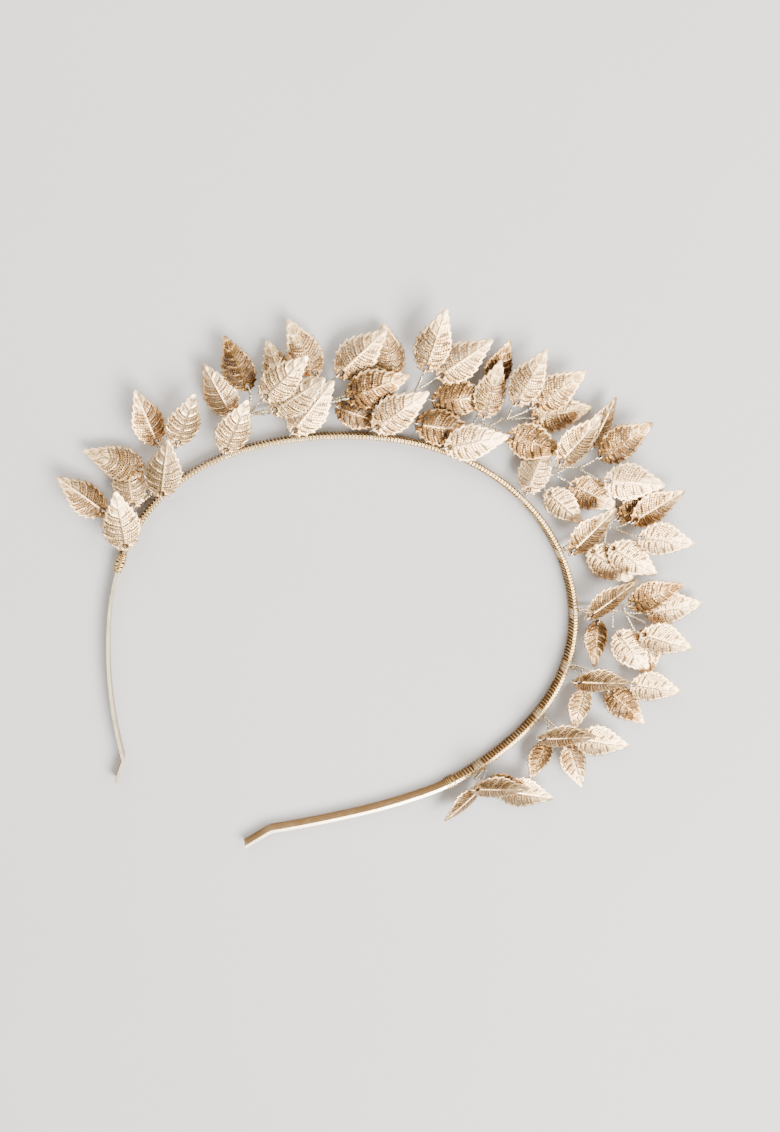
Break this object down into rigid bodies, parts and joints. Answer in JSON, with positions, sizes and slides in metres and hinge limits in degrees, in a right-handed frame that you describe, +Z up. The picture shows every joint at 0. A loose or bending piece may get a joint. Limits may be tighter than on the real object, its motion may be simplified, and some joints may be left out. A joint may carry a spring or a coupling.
{
  "type": "leaf crown",
  "caption": "Leaf crown hair band: a bent metal strip bound with wire, with sprigs of pierced metal leaves on twisted wires along one side",
  "frame": {"origin": "Middle of the crown's outline on the plan, on the surface on which the crown lies", "axes": "+Z up from the surface; +Y from the two bare ends toward the top of the crown; +X across the crown, toward the side with the denser sprigs"},
  "size_m": [0.193, 0.179, 0.0142],
  "materials": {
    "band_metal": "champagne gold plated strip, satin",
    "wire": "fine gold plated wire, bright",
    "leaf_metal": "thin pierced leaf metal, champagne gold plating, satin"
  },
  "bodies": {
    "root": {"band": "band_metal", "band_wrap": "wire", "left_winding": "wire", "right_winding": "wire", "sprig_1_stems": "wire", "sprig_1_leaves": "leaf_metal", "sprig_2_stems": "wire", "sprig_2_leaves": "leaf_metal", "sprig_3_stems": "wire", "sprig_3_leaves": "leaf_metal", "sprig_4_stems": "wire", "sprig_4_leaves": "leaf_metal", "sprig_5_stems": "wire", "sprig_5_leaves": "leaf_metal", "sprig_6_stems": "wire", "sprig_6_leaves": "leaf_metal", "sprig_7_stems": "wire", "sprig_7_leaves": "leaf_metal", "sprig_8_stems": "wire", "sprig_8_leaves": "leaf_metal", "sprig_9_stems": "wire", "sprig_9_leaves": "leaf_metal", "sprig_10_stems": "wire", "sprig_10_leaves": "leaf_metal", "sprig_11_stems": "wire", "sprig_11_leaves": "leaf_metal", "sprig_12_stems": "wire", "sprig_12_leaves": "leaf_metal"}
  },
  "joints": []
}
